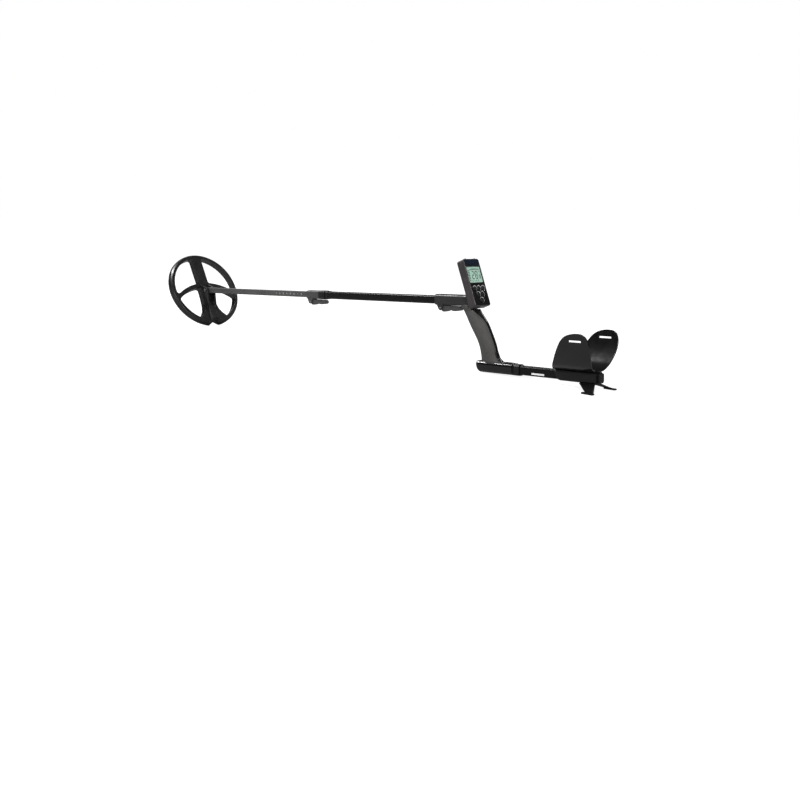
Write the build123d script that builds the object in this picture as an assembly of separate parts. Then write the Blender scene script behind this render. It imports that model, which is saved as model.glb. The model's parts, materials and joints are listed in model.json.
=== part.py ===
from build123d import *
import math
import os

# Metal detector with a telescopic S-shaped stem.  All sizes in millimetres.
# It is drawn along the main tube (X to the rear, Z up, tube axis on Z = 0) and then set down on the
# floor on its two rear feet and the heel of the search coil.

# ---- fits -----------------------------------------------------------------------------------------
slide_gap = 0.08            # each side, tube sliding in tube or bush
pin_gap = 0.05              # each side, pin turning in a hole
key_gap = 0.35              # each side, key in its hole
clip_gap = 0.1              # each side, remote clip on its plate
free_gap = 0.5              # between parts that pass each other
sliver = 0.1                # washer to tongue, so that they only just touch

# ---- telescopic stem ------------------------------------------------------------------------------
tube_width = 16.0
tube_height = 18.4
tube_corner = 4.5
tube_wall = 1.5
tube_front = -425.0
tube_rear = 84.0
stem_wall = 1.4
stem_front = -858.0
stem_rear = -340.0
guide_plug_length = 12.0
guide_flange = 2.0
cap_plug_length = 14.0
yoke_plug_length = 20.0
yoke_shoulder = 5.0
shoulder_proud = 0.5        # yoke shoulder outside the stem
yoke_side_cut = 1.7         # tongue narrower than the tube, each side
tongue_root_half = 7.6
hinge_reach = 16.0          # hinge in front of the stem's end

# ---- front clamp ----------------------------------------------------------------------------------
clamp_reach = 12.0          # clamp in front of the tube's end
clamp_body_length = 51.0
clamp_ring_length = 21.5
clamp_collar_length = 11.0
clamp_side_wall = 2.25
clamp_top_wall = 1.4
clamp_corner = 6.0
clamp_nose = 8.0            # length of the tapered front
nose_side_cut = 2.1
nose_top_cut = 1.6
nose_corner = 4.8
ring_side_wall = 2.6
ring_top_wall = 1.8
collar_skin = 0.8
bush_setback = 1.0

# ---- cam levers -----------------------------------------------------------------------------------
lever_width = 12.6
lever_pin_radius = 1.6
lever_head_radius = 5.5
lever_profile = [           # outline behind the head, from the pin
    (0, 5.4), (51.5, 4.6), (55.5, -0.5), (52, -4.6), (41, -6.2), (19, -5.2), (14, -7.4), (9, -8.4), (3, -7.4)]
lever_corner = 1.2
finger_x = 28.0             # hollow for a finger, from the pin
finger_drop = 9.6
finger_radius = 6.0
handle_lever_back = 14.8    # pin behind the sleeve's front
front_lever_back = 5.2      # pin behind the middle tube's front
lug_thickness = 2.2
lug_gap = 0.4
lug_root = 3.0              # how far the lugs run up into the sleeve's wall
lug_front = 12.0            # lugs along the sleeve, each way from the pin
lug_back = 9.0

# ---- handle ---------------------------------------------------------------------------------------
sleeve_front = 2.5
sleeve_side_wall = 3.0
sleeve_top_wall = 2.8
sleeve_corner = 6.5
sleeve_lift = 0.6           # sleeve centre above the tube axis
blank_rear = 130.0          # sleeve and collar blanks run to here before they are cut slanting
bush_wall = 1.0
nest_depth = 13.0           # room for the clamp collar in the sleeve front
collar_band = 5.5           # length of the black collar behind the sleeve
collar_side_wall = 4.0
collar_top_wall = 4.3
collar_lift = 0.9
grip_levels = [             # height, front, back, thickness across Y
    (-7, 68, 110, 19), (-20, 79, 123, 25), (-40, 92, 138.5, 30), (-60, 104.5, 150, 32),
    (-80, 117.5, 159.5, 32), (-100, 126, 167, 31), (-114, 128.5, 172, 29), (-123, 129, 179, 27),
    (-130, 129.5, 190, 24)]
spine_depth = [(0, 18), (-17, 11), (-30, 5.5), (-48, 3), (-75, 2.4), (-105, 2.4), (-120, 3), (-134, 5)]
spine_side = [(5, 14), (-18, 13), (-28, 9), (-42, 4.2), (-60, 3.4), (-108, 3.4), (-122, 4.6), (-136, 8)]
core_heights = [-9, -20, -40, -60, -80, -100, -118, -130]
core_width = 12.0
core_margin = 9.0           # core behind the grip's front
core_back_margin = 2.0

# ---- base shoe and arm tube -----------------------------------------------------------------------
arm_axis_z = -138.0
arm_tube_width = 16.0
arm_tube_height = 19.3
arm_tube_front = 170.0
arm_tube_rear = 418.0
arm_wall = 1.4
arm_plug_length = 8.0
arm_plug_lip = 2.0
shoe_side_wall = 5.0
shoe_corner = 9.0
shoe_nose_corner = 10.0
shoe_edge = 1.5
shoe_profile = [            # X, height above the arm tube's axis
    (116.5, 9.4), (129, -11.4), (215, -11.6), (215, 12.2), (196, 13.4), (123, 12.6)]
shoe_collar_length = 16.0
shoe_collar_skin = 2.2
shoe_screw_x = (140.0, 160.0)
shoe_screw_radius = 1.6
shoe_screw_length = 18.0
shoe_screw_head = 3.1
shoe_screw_sink = 2.6
head_room = 0.2             # countersink wider and deeper than a screw head
strip_length = 31.0
strip_height = 3.6
strip_thickness = 0.4
strip_front = 262.0
strip_drop = 4.2            # below the arm tube axis

# ---- arm rest -------------------------------------------------------------------------------------
cuff_sheet = 2.6
cuff_flat_half = 6.0
cuff_bends = [(38.0, 55.5), (114.0, 20.5), (224.0, 8.0)]    # radius and turn, from the flat upwards
cuff_outline = [            # X, height above the arm tube's axis
    (317, 9.4), (332, 28), (342, 44), (352, 61), (366, 79), (382, 86.8), (400, 88.5), (413.5, 85),
    (420.5, 74), (422.5, 58), (421, 43), (417, 26), (412.5, 9.4)]
slot_x = 392.3
slot_rise = 73.5            # above the arm tube's axis
slot_length = 27.5
slot_height = 3.6
slot_corner = 0.8
channel_front = 319.0
channel_rear = 414.0
channel_skin = 3.6
channel_top_skin = 1.4
channel_bottom_skin = 1.3
channel_corner = 4.0
channel_nose = [(0, 6), (5.5, -7)]      # from the channel's front, above the arm tube's axis
channel_nose_length = 13.0
groove_drop = 4.0
groove_depth = 0.6
groove_half = 0.5
stand_front = 377.0
stand_rear = 410.0
stand_plate = 2.4
leg_top_cut = 1.68          # leg inside the channel's side
leg_foot_y = 41.0
leg_thickness = 4.5
leg_foot_front = 411.0
leg_foot_rear = 426.0
foot_front = 402.0
foot_rear = 428.0
foot_width = 10.0
foot_corner = 3.0
foot_thickness = 2.6
cuff_screw_x = (334.0, 401.0)
cuff_screw_radius = 1.25
cuff_screw_head = 3.7
cuff_screw_head_height = 1.4
cuff_screw_sink = 0.6

# ---- remote control -------------------------------------------------------------------------------
remote_lean = 20.0
remote_back = (94.8, 32.96)         # centre of the back, X and Z
remote_width = 51.2
remote_length = 105.0
remote_depth = 20.0
remote_corner = 5.0
remote_front_edge = 1.2
remote_back_edge = 2.4
remote_skin = 1.8
remote_split = 9.0                  # depth of the front case
ledge_width = 1.4                   # what the front panel rests on
panel_margin = 2.0
panel_thickness = 1.6
panel_rest = 1.2
bump_y = 15.0
bump_depth = 4.6
bump_radius = 3.2
bump_height = 1.2
bump_root = 0.8
window_width = 46.0
window_length = 36.4
window_corner = 1.5
window_centre = 17.4                # above the middle of the front
display_margin = 1.4
display_thickness = 2.0
display_gap = 0.3
board_thickness = 1.6
board_margin = 1.0
board_gap = 0.2
battery_width = 34.0
battery_length = 48.0
battery_depth = 6.0
battery_centre = 12.0
battery_gap = 0.4
key_radius = 5.0
key_space_y = 1.0                   # between the rings of neighbouring keys
key_space_a = 0.3
key_first_row = -13.6
key_rows = [3, 2, 1]
key_height = 1.6                    # proud of the front
key_edge = 0.8
key_travel = 0.6
key_flange_lip = 1.1
key_flange = 1.0
key_flange_gap = 0.4
key_ring_width = 1.0
key_ring_height = 0.5
remote_boss_radius = 2.6
remote_boss_inset = 3.4
remote_screw_radius = 1.0
remote_screw_length = 7.0
remote_screw_head = 1.9
remote_screw_head_height = 1.2
remote_screw_sink = 1.5
clip_depth = 5.4
clip_side = 4.0
clip_lip = 3.0
clip_bottom = 3.0                   # clip's end above the remote's
plate_width = 31.0
plate_height = 36.0
plate_thickness = 2.6
plate_rise = 3.5                    # plate centre above the tube axis, along its own face
plate_standoff = 1.3
disc_inset = 2.4
disc_thickness = 1.0
cap_boot_length = 5.0
cap_flare_side = 2.5                # flare wider than the tube, each side
cap_flare_top = 2.8
cap_flare_corner = 8.0
cap_flare_rise = 1.4

# ---- search coil ----------------------------------------------------------------------------------
coil_tilt = 64.0
hinge_rise = 15.0                   # hinge above the top of the coil
hinge_offset = 11.6                 # hinge to coil centre, towards the toe
coil_radius = 109.8
coil_rim = 12.3                     # width of the ring
cover_lip = 1.0                     # lower cover outside the upper shell
upper_height = 10.0
lower_height = 9.5
upper_bevel_in = 3.4
upper_bevel_down = 4.6
lower_bevel = 3.0
coil_skin = 1.6
lower_skin = 2.4
toe_spoke_half = 14.6
arm_bow_radius = 157.0
arm_top_u = 18.5
arm_width = 12.0
spine_neck_half = 15.5              # half width where the spine leaves the arms
spine_half = [                      # distance inside the ring, half width
    (77.5, 17), (52.5, 19), (35.5, 23), (21.5, 32), (7.5, 47)]
window_fillet = 6.0
window_least_area = 300.0
notch_half = 20.0
notch_depth = 12.5
ear_thickness = 5.0
ear_base_toe = 27.0
ear_base_heel = 68.0
ear_tip_radius = 9.0
ridge_start = 24.0
ridge_half = 13.0
ridge_height = 5.0
ridge_length = 62.0
ridge_corner = 5.0
ridge_taper = 35.0
tongue_tip_share = 0.94             # tongue's round end, of the ear's
washer_thickness = 2.0
washer_radius = 8.0
bolt_radius = 3.0
bolt_head_radius = 4.6
bolt_head_height = 4.0
bolt_head_edge = 1.4
nut_rim = 3.6                       # corner of the nut outside the bolt
nut_thickness = 5.0
winding_side = 3.5
winding_inset = 6.9                 # winding inside the coil's edge
winding_heel_inset = 4.0            # and in front of the notch
winding_chord = 9.0                 # outer edge of the straight run past the middle
winding_clear = 0.3
coil_screw_u = (80.0, 40.0, -84.0)
coil_screw_radius = 1.4
coil_screw_length = 13.0
coil_screw_head = 2.6
coil_screw_sink = 2.0
coil_boss_radius = 3.4
circuit_u = 50.0                    # centre of the board, towards the heel
circuit_size = (42.0, 26.0)
circuit_drop = 0.9
cell_u = 46.0
cell_size = (26.0, 7.0, 5.0)
cell_corner = 1.5

stand_lean = 2.86                   # how far the main tube slopes when the detector stands

# ---- sizes that follow ----------------------------------------------------------------------------
hinge_x = stem_front - hinge_reach
clamp_front = tube_front - clamp_reach
clamp_body_rear = clamp_front + clamp_body_length
clamp_ring_rear = clamp_body_rear + clamp_ring_length
clamp_collar_rear = clamp_ring_rear + clamp_collar_length
clamp_width = tube_width + 2 * clamp_side_wall
clamp_height = tube_height + 2 * clamp_top_wall
ring_width = tube_width + 2 * ring_side_wall
ring_height = tube_height + 2 * ring_top_wall
sleeve_width = tube_width + 2 * sleeve_side_wall
sleeve_height = tube_height + 2 * sleeve_top_wall
collar_width = tube_width + 2 * collar_side_wall
collar_height = tube_height + 2 * collar_top_wall
lever_pin_drop = sleeve_height / 2 - sleeve_lift + free_gap + lever_head_radius
lever_pin_half = lever_width / 2 + lug_gap + lug_thickness
handle_lever_x = sleeve_front + handle_lever_back
front_lever_x = tube_front + front_lever_back
shoe_width = arm_tube_width + 2 * shoe_side_wall
shoe_outline = [(x, arm_axis_z + z) for x, z in shoe_profile]
half_channel = arm_tube_width / 2 + slide_gap + channel_skin
slot_z = arm_axis_z + slot_rise
key_ring_radius = key_radius + key_gap + key_ring_width
key_pitch_y = 2 * key_ring_radius + key_space_y
key_pitch_a = 2 * key_ring_radius + key_space_a
coil_window_radius = coil_radius - coil_rim
upper_radius = coil_radius - cover_lip
winding_radius = coil_radius - winding_inset
heel_flat = coil_radius - notch_depth - winding_heel_inset
yoke_width = tube_width - 2 * yoke_side_cut
ear_inner = yoke_width / 2 + washer_thickness + sliver

os.makedirs("parts", exist_ok=True)
pieces = {}


def bar_x(x0, x1, width, height, corner, y=0.0, z=0.0):
    """Bar along X with a rounded rectangular section."""
    section = Plane.YZ.offset(x0) * Pos(y, z) * RectangleRounded(width, height, corner)
    return extrude(section, amount=x1 - x0)


def side_face(points, corner=0.0):
    """Closed outline from (X, Z) points, with every corner rounded alike."""
    face = make_face(Polyline(*points, close=True))
    if corner:
        face = fillet(face.vertices(), corner)
    return face


def side_plate(face, y0, y1):
    """Side outline given thickness from y0 to y1."""
    return extrude(Plane.XZ.offset(-y1) * face, amount=y1 - y0)


def rod_y(x, z, radius, y0, y1):
    """Round rod along Y."""
    return extrude(Plane.XZ.offset(-y1) * Pos(x, z) * Circle(radius), amount=y1 - y0)


def box(x0, x1, y0, y1, z0, z1):
    """Plain block between two corners."""
    return Pos((x0 + x1) / 2, (y0 + y1) / 2, (z0 + z1) / 2) * Box(x1 - x0, y1 - y0, z1 - z0)


def tube_bar(x0, x1, grow=0.0):
    """Solid with the outside shape of the middle tube, grown on each side."""
    return bar_x(x0, x1, tube_width + 2 * grow, tube_height + 2 * grow, tube_corner + grow)


def stem_bar(x0, x1, grow=0.0):
    """Solid with the outside shape of the lower stem, grown on each side."""
    shrink = tube_wall + slide_gap - grow
    return tube_bar(x0, x1, -shrink)


def arm_bar(x0, x1, grow=0.0):
    """Solid with the outside shape of the arm tube, grown on each side."""
    return bar_x(x0, x1, arm_tube_width + 2 * grow, arm_tube_height + 2 * grow,
                 tube_corner + grow, z=arm_axis_z)


def interpolate(table, z, column):
    """Value of one column of a table of levels, straight between neighbours."""
    rows = sorted(table)
    for low, high in zip(rows, rows[1:]):
        if low[0] <= z <= high[0]:
            part = (z - low[0]) / (high[0] - low[0])
            return low[column] + part * (high[column] - low[column])
    return rows[0][column] if z < rows[0][0] else rows[-1][column]


def hull_points(points):
    """Convex outline around a few (X, Z) points."""
    pts = sorted(set(points))

    def half(sequence):
        out = []
        for p in sequence:
            while len(out) > 1 and ((out[-1][0] - out[-2][0]) * (p[1] - out[-2][1])
                                    - (out[-1][1] - out[-2][1]) * (p[0] - out[-2][0])) <= 0:
                out.pop()
            out.append(p)
        return out[:-1]
    return half(pts) + half(pts[::-1])


def screw(radius, length, head_radius, head_height):
    """Screw along -Z with its head seat on Z = 0 and a cross slot in the head."""
    body = Pos(0, 0, -length / 2) * Cylinder(radius, length)
    head = Pos(0, 0, head_height / 2) * Cylinder(head_radius, head_height)
    head = fillet(head.edges().group_by(Axis.Z)[-1], head_height * 0.4)
    for turn in (0, 90):
        head -= Pos(0, 0, head_height) * Rot(0, 0, turn) * Box(head_radius * 1.2, head_radius * 0.28,
                                                              head_height * 0.9)
    return body + head


# ---- remote frame: X out of the front, Z up the long side, origin in the middle of the front ---------
remote_at = Pos(remote_back[0], 0, remote_back[1]) * Rot(0, -remote_lean, 0) * Pos(remote_depth, 0, 0)
lean_cos = math.cos(math.radians(remote_lean))
back_x = -remote_depth
axis_a = -remote_back[1] / lean_cos                 # height where the tube axis meets the back
plate_a = axis_a + plate_rise
plate_back = back_x - plate_standoff
plate_front = plate_back - plate_thickness
clip_front = back_x - clip_depth
collar_rear = clip_front - free_gap
sleeve_cut = collar_rear - collar_band
half_length = remote_length / 2


def behind(plane_x, size=400.0):
    """Everything behind a plane square to the remote's front axis."""
    return remote_at * Pos(plane_x + size / 2, 0, 0) * Box(size, size, size)


# ---- middle tube and its end cap ---------------------------------------------------------------------
pieces["middle_tube"] = tube_bar(tube_front, tube_rear) - tube_bar(tube_front - 1, tube_rear + 1, -tube_wall)

flare_start = tube_rear + cap_boot_length


def flare(grow, plane_x):
    """Loft from the tube section to the wider section against the mount plate."""
    small = Plane.YZ.offset(flare_start - grow) * RectangleRounded(
        tube_width + 2 * grow, tube_height + 2 * grow, tube_corner + grow)
    large = remote_at * (Plane.YZ.offset(plane_x) * Pos(0, axis_a + cap_flare_rise) * RectangleRounded(
        tube_width + 2 * (cap_flare_side + grow), tube_height + 2 * (cap_flare_top + grow),
        cap_flare_corner))
    return loft([small, large])


cap = tube_bar(tube_rear - cap_plug_length, tube_rear, -tube_wall) + tube_bar(tube_rear, flare_start)
cap += flare(0, plate_front)
pieces["tube_end_cap"] = cap


def obround(width, height, centre):
    """Upright slot shape in the remote's back plane."""
    return Pos(0, centre) * RectangleRounded(width, height, width / 2 - 0.01)


def on_remote(face, x0, x1):
    """Outline (Y, height) in the remote frame given depth from x0 to x1."""
    return remote_at * extrude(Plane.YZ.offset(x0) * face, amount=x1 - x0)


plate = on_remote(obround(plate_width, plate_height, plate_a), plate_front, plate_back)
disc_face = obround(plate_width - 2 * disc_inset, plate_height - 2 * disc_inset, plate_a)
disc = on_remote(disc_face, plate_back - disc_thickness, plate_back)
pieces["mount_plate"] = plate - disc
pieces["mount_disc"] = disc

# ---- front clamp -------------------------------------------------------------------------------------
clamp = bar_x(clamp_front + clamp_nose, clamp_body_rear, clamp_width, clamp_height, clamp_corner)
nose_small = Plane.YZ.offset(clamp_front) * RectangleRounded(
    clamp_width - 2 * nose_side_cut, clamp_height - 2 * nose_top_cut, nose_corner)
nose_large = Plane.YZ.offset(clamp_front + clamp_nose) * RectangleRounded(clamp_width, clamp_height,
                                                                         clamp_corner)
clamp += loft([nose_small, nose_large])


def lug_pair(x, top):
    """Two cheeks under a sleeve that hold a lever pin."""
    outline = hull_points([(x + lever_head_radius * math.cos(math.radians(a)),
                            lever_head_radius * math.sin(math.radians(a)) - lever_pin_drop)
                           for a in range(0, 360, 10)] + [(x - lug_front, top), (x + lug_back, top)])
    face = side_face(outline)
    inner = lever_width / 2 + lug_gap
    cheek = side_plate(face, inner, inner + lug_thickness)
    return cheek + mirror(cheek, Plane.XZ)


clamp += lug_pair(front_lever_x, -clamp_height / 2 + lug_root)
clamp -= tube_bar(clamp_front - 1, clamp_body_rear + 1)
front_pin = rod_y(front_lever_x, -lever_pin_drop, lever_pin_radius, -lever_pin_half, lever_pin_half)
pieces["front_clamp_body"] = clamp - front_pin
pieces["front_lever_pin"] = front_pin
pieces["front_bush"] = tube_bar(clamp_front + bush_setback, tube_front) - stem_bar(
    clamp_front, tube_front + 1, slide_gap)
ring = bar_x(clamp_body_rear, clamp_ring_rear, ring_width, ring_height, clamp_corner)
ring += tube_bar(clamp_ring_rear, clamp_collar_rear, collar_skin)
pieces["clamp_ring"] = ring - tube_bar(clamp_body_rear - 1, clamp_collar_rear + 1)


def cam_lever(x):
    """Cam lever closed under the sleeve, turning on its pin."""
    tail = side_face(lever_profile, lever_corner)
    face = Circle(lever_head_radius) + tail - Circle(lever_pin_radius + pin_gap)
    body = side_plate(Pos(x, -lever_pin_drop) * face, -lever_width / 2, lever_width / 2)
    scoop = rod_y(x + finger_x, -lever_pin_drop - finger_drop, finger_radius, -lever_width, lever_width)
    return body - scoop


pieces["front_cam_lever"] = cam_lever(front_lever_x)
pieces["handle_cam_lever"] = cam_lever(handle_lever_x)

# ---- lower stem --------------------------------------------------------------------------------------
stem_tube = stem_bar(stem_front, stem_rear) - stem_bar(stem_front - 1, stem_rear + 1, -stem_wall)
pieces["lower_stem_tube"] = stem_tube
pieces["stem_guide_plug"] = (stem_bar(stem_rear - guide_plug_length, stem_rear, -stem_wall)
                             + stem_bar(stem_rear, stem_rear + guide_flange))
yoke = stem_bar(stem_front - yoke_shoulder, stem_front, shoulder_proud)
yoke += stem_bar(stem_front, stem_front + yoke_plug_length, -stem_wall)
tongue_tip = ear_tip_radius * tongue_tip_share
tongue = hull_points([(hinge_x + tongue_tip * math.cos(math.radians(a)),
                       tongue_tip * math.sin(math.radians(a))) for a in range(0, 360, 10)]
                     + [(stem_front - 1, tongue_root_half), (stem_front - 1, -tongue_root_half)])
yoke += side_plate(side_face(tongue), -yoke_width / 2, yoke_width / 2)
yoke -= rod_y(hinge_x, 0, bolt_radius + pin_gap, -yoke_width, yoke_width)
pieces["stem_yoke"] = yoke

# ---- handle sleeve, spine and grip -------------------------------------------------------------------
sleeve_outer = bar_x(sleeve_front, blank_rear, sleeve_width, sleeve_height, sleeve_corner, z=sleeve_lift)
sleeve = sleeve_outer + lug_pair(handle_lever_x, -sleeve_height / 2 + sleeve_lift + lug_root)
sleeve = sleeve - behind(sleeve_cut)
nest = tube_bar(sleeve_front - 1, sleeve_front + nest_depth, collar_skin + free_gap)
bush_outer = tube_bar(sleeve_front + nest_depth, blank_rear, slide_gap + bush_wall)
funnel = flare(free_gap, plate_front)
sleeve = sleeve - nest - bush_outer - funnel
handle_pin = rod_y(handle_lever_x, -lever_pin_drop, lever_pin_radius, -lever_pin_half, lever_pin_half)
pieces["handle_sleeve"] = sleeve - handle_pin
pieces["handle_lever_pin"] = handle_pin
bush = (bush_outer - behind(sleeve_cut)) & box(0, tube_rear, -30, 30, -30, 30)
pieces["sleeve_bush"] = bush - tube_bar(0, blank_rear, slide_gap)

grip_sections = [Plane.XY.offset(z) * Pos((front + back) / 2, 0) * Ellipse((back - front) / 2, thick / 2)
                 for z, front, back, thick in grip_levels]
grip = loft(grip_sections)
grip = (grip - sleeve_outer).solids().sort_by(SortBy.VOLUME)[-1]

spine_line = [(interpolate(grip_levels, z, 2) - depth, z) for z, depth in spine_depth]
spine_curve = Spline(*spine_line)
spine_frame = Polyline(spine_line[-1], (260, spine_line[-1][1]), (260, 0), spine_line[0])
spine_region = side_plate(make_face(spine_curve + spine_frame), -40, 40)
spine_edge = [(half, z) for z, half in spine_side] + [(-half, z) for z, half in spine_side[::-1]]
spine_region &= extrude(Plane.YZ * make_face(Polyline(*spine_edge, close=True)), amount=260)

core_front = [(interpolate(grip_levels, z, 1) + core_margin, z) for z in core_heights]
core_back = [(interpolate(grip_levels, z, 2) - core_back_margin, z) for z in core_heights]
core = side_plate(side_face(core_front + core_back[::-1]), -core_width / 2, core_width / 2)

remote_room = remote_at * Pos(100 + collar_rear, 0, 100 - half_length - 1.0) * Box(200, 120, 200)
pass_height = remote_back[1] - half_length * lean_cos - free_gap     # under the remote as it slides by
rear_room = box(104, 260, -60, 60, pass_height, 60)
collar = bar_x(70, blank_rear, collar_width, collar_height, sleeve_corner, z=collar_lift)
collar = (collar & behind(sleeve_cut)) - behind(collar_rear)
pieces["sleeve_collar"] = collar - tube_bar(60, blank_rear, slide_gap + bush_wall) - funnel
spine = (grip & spine_region) - remote_room - rear_room - collar
core = core - sleeve_outer - collar - spine_region

# ---- base shoe, arm tube -----------------------------------------------------------------------------
shoe_top = max(z for x, z in shoe_outline)
shoe_bottom = min(z for x, z in shoe_outline)
shoe_rear = max(x for x, z in shoe_outline)
shoe_front = min(x for x, z in shoe_outline)
shoe_collar_rear = shoe_rear + shoe_collar_length
shoe = bar_x(shoe_front - 5, shoe_rear, shoe_width, shoe_top - shoe_bottom, shoe_corner,
             z=(shoe_top + shoe_bottom) / 2)
shoe &= side_plate(side_face(shoe_outline, shoe_edge), -shoe_width, shoe_width)
nose_length = 2 * (shoe_rear - shoe_front)
nose_plan = Pos(shoe_front + nose_length / 2, 0) * RectangleRounded(nose_length, shoe_width,
                                                                   shoe_nose_corner)
shoe &= Plane.XY.offset(shoe_bottom - 5) * extrude(nose_plan, amount=60)
arm_solid = arm_bar(arm_tube_front, arm_tube_rear)
spine -= shoe
core -= shoe
grip_cover = grip - spine_region - core - collar - shoe - remote_room - rear_room
shoe -= arm_solid
pieces["grip_cover"] = grip_cover.solids().sort_by(SortBy.VOLUME)[-1]

shoe_screws = []
for x in shoe_screw_x:
    seat = Pos(x, 0, shoe_bottom + shoe_screw_sink) * Rot(180, 0, 0)
    shoe_screws.append(seat * screw(shoe_screw_radius, shoe_screw_length, shoe_screw_head,
                                    shoe_screw_sink - 2 * head_room))
    hole = Pos(x, 0, shoe_bottom) * Cylinder(shoe_screw_radius, 60)
    shoe -= Pos(x, 0, shoe_bottom) * Cylinder(shoe_screw_head + head_room, 2 * shoe_screw_sink)
    shoe -= hole
    core -= hole
pieces["handle_spine"] = spine.solids().sort_by(SortBy.VOLUME)[-1]
pieces["handle_core"] = core.solids().sort_by(SortBy.VOLUME)[-1]
pieces["base_shoe"] = shoe
pieces["shoe_screws"] = Compound(children=shoe_screws)

shoe_collar = arm_bar(shoe_rear, shoe_collar_rear, shoe_collar_skin)
pieces["shoe_collar"] = shoe_collar - arm_bar(shoe_rear - 1, shoe_collar_rear + 1)
arm_tube = arm_solid - arm_bar(arm_tube_front - 1, arm_tube_rear + 1, -arm_wall)
pieces["arm_tube"] = arm_tube
pieces["arm_tube_plug"] = (arm_bar(arm_tube_rear - arm_plug_length, arm_tube_rear, -arm_wall)
                           + arm_bar(arm_tube_rear, arm_tube_rear + arm_plug_lip))
side = arm_tube_width / 2
pieces["blank_strip"] = box(strip_front, strip_front + strip_length, -side - strip_thickness, -side,
                           arm_axis_z - strip_drop - strip_height / 2,
                           arm_axis_z - strip_drop + strip_height / 2)

# ---- arm rest ----------------------------------------------------------------------------------------
channel_low = arm_axis_z - arm_tube_height / 2 - slide_gap - channel_bottom_skin
channel_high = arm_axis_z + arm_tube_height / 2 + slide_gap + channel_top_skin
channel = bar_x(channel_front, channel_rear, 2 * half_channel, channel_high - channel_low, channel_corner,
                z=(channel_high + channel_low) / 2)
step = side_face([(channel_front, channel_high)]
                 + [(channel_front + x, arm_axis_z + z) for x, z in channel_nose]
                 + [(channel_front + channel_nose_length, channel_low), (channel_rear, channel_low),
                    (channel_rear, channel_high)])
channel &= side_plate(step, -2 * half_channel, 2 * half_channel)
channel -= arm_bar(channel_front - 1, channel_rear + 1, slide_gap)
groove_z = channel_high - groove_drop
groove = box(channel_front - 1, channel_rear + 1, -40, -half_channel + groove_depth,
             groove_z - groove_half, groove_z + groove_half)
channel = channel - groove - mirror(groove, Plane.XZ)


def cuff_line(rise):
    """Right half of the cuff's section, that far inside its outer face."""
    line = Line((0, channel_high + rise), (cuff_flat_half, channel_high + rise))
    for radius, turn in cuff_bends:
        line += JernArc(line @ 1, line % 1, radius - rise, turn)
    return line


outer_line = cuff_line(0)
inner_line = cuff_line(cuff_sheet)
cuff_face = make_face(outer_line + Line(outer_line @ 1, inner_line @ 1) + inner_line
                      + Line(inner_line @ 0, outer_line @ 0))
cuff_face += mirror(cuff_face, Plane.YZ)
cuff = extrude(Plane.YZ.offset(channel_front - 20) * cuff_face, amount=channel_rear - channel_front + 45)
cuff_side = [(x, arm_axis_z + z) for x, z in cuff_outline]
outline = make_face(Spline(*cuff_side) + Line(cuff_side[-1], cuff_side[0]))
cuff = (cuff & side_plate(outline, -80, 80)) - channel
cuff -= side_plate(Pos(slot_x, slot_z) * RectangleRounded(slot_length, slot_height, slot_corner), -80, 80)

cuff_screws = []
seat_z = channel_high + cuff_sheet - cuff_screw_sink
for x in cuff_screw_x:
    cuff_screws.append(Pos(x, 0, seat_z) * screw(cuff_screw_radius, seat_z - channel_high + channel_top_skin,
                                                 cuff_screw_head, cuff_screw_head_height))
    cuff -= Pos(x, 0, seat_z + 4) * Cylinder(cuff_screw_head + sliver, 8)
    cuff -= Pos(x, 0, seat_z) * Cylinder(cuff_screw_radius, 12)
    channel -= Pos(x, 0, channel_high) * Cylinder(cuff_screw_radius, 6)
pieces["cuff_shell"] = cuff
pieces["cuff_channel"] = channel
pieces["cuff_screws"] = Compound(children=cuff_screws)

# ---- remote control ----------------------------------------------------------------------------------


def remote_block(x0, x1, width, length, corner):
    """Block in the remote frame with rounded upright edges."""
    face = RectangleRounded(width, length, corner)
    return extrude(Plane.YZ.offset(x0) * face, amount=x1 - x0)


front_outer = remote_block(-remote_split, 0, remote_width, remote_length, remote_corner)
front_outer = fillet(front_outer.edges().group_by(Axis.X)[-1], remote_front_edge)
panel_w = remote_width - 2 * panel_margin
panel_l = remote_length - 2 * panel_margin
panel_corner = remote_corner - panel_margin
inner_w = remote_width - 2 * remote_skin
inner_l = remote_length - 2 * remote_skin
inner_corner = remote_corner - remote_skin
panel_room = remote_block(-panel_thickness, 1, panel_w, panel_l, panel_corner)
front_inner = remote_block(-remote_split - 1, -panel_thickness - panel_rest, inner_w, inner_l, inner_corner)
ledge_room = remote_block(-remote_split, 1, panel_w - 2 * ledge_width, panel_l - 2 * ledge_width,
                          panel_corner)
front_case = front_outer - panel_room - front_inner - ledge_room
key_places = []
for row, count in enumerate(key_rows):
    for column in range(count):
        key_places.append(((column - (count - 1) / 2) * key_pitch_y, key_first_row - row * key_pitch_a))
key_hole = key_radius + key_gap
key_flange_radius = key_radius + key_flange_lip
for y, a in key_places:
    front_case -= Pos(0, y, a) * Rot(0, 90, 0) * Cylinder(key_flange_radius + key_gap, 2 * remote_split)
for y in (-bump_y, bump_y):
    bump = Pos(-bump_depth, y, half_length + (bump_height - bump_root) / 2)
    front_case += bump * Cylinder(bump_radius, bump_height + bump_root) - front_inner

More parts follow.
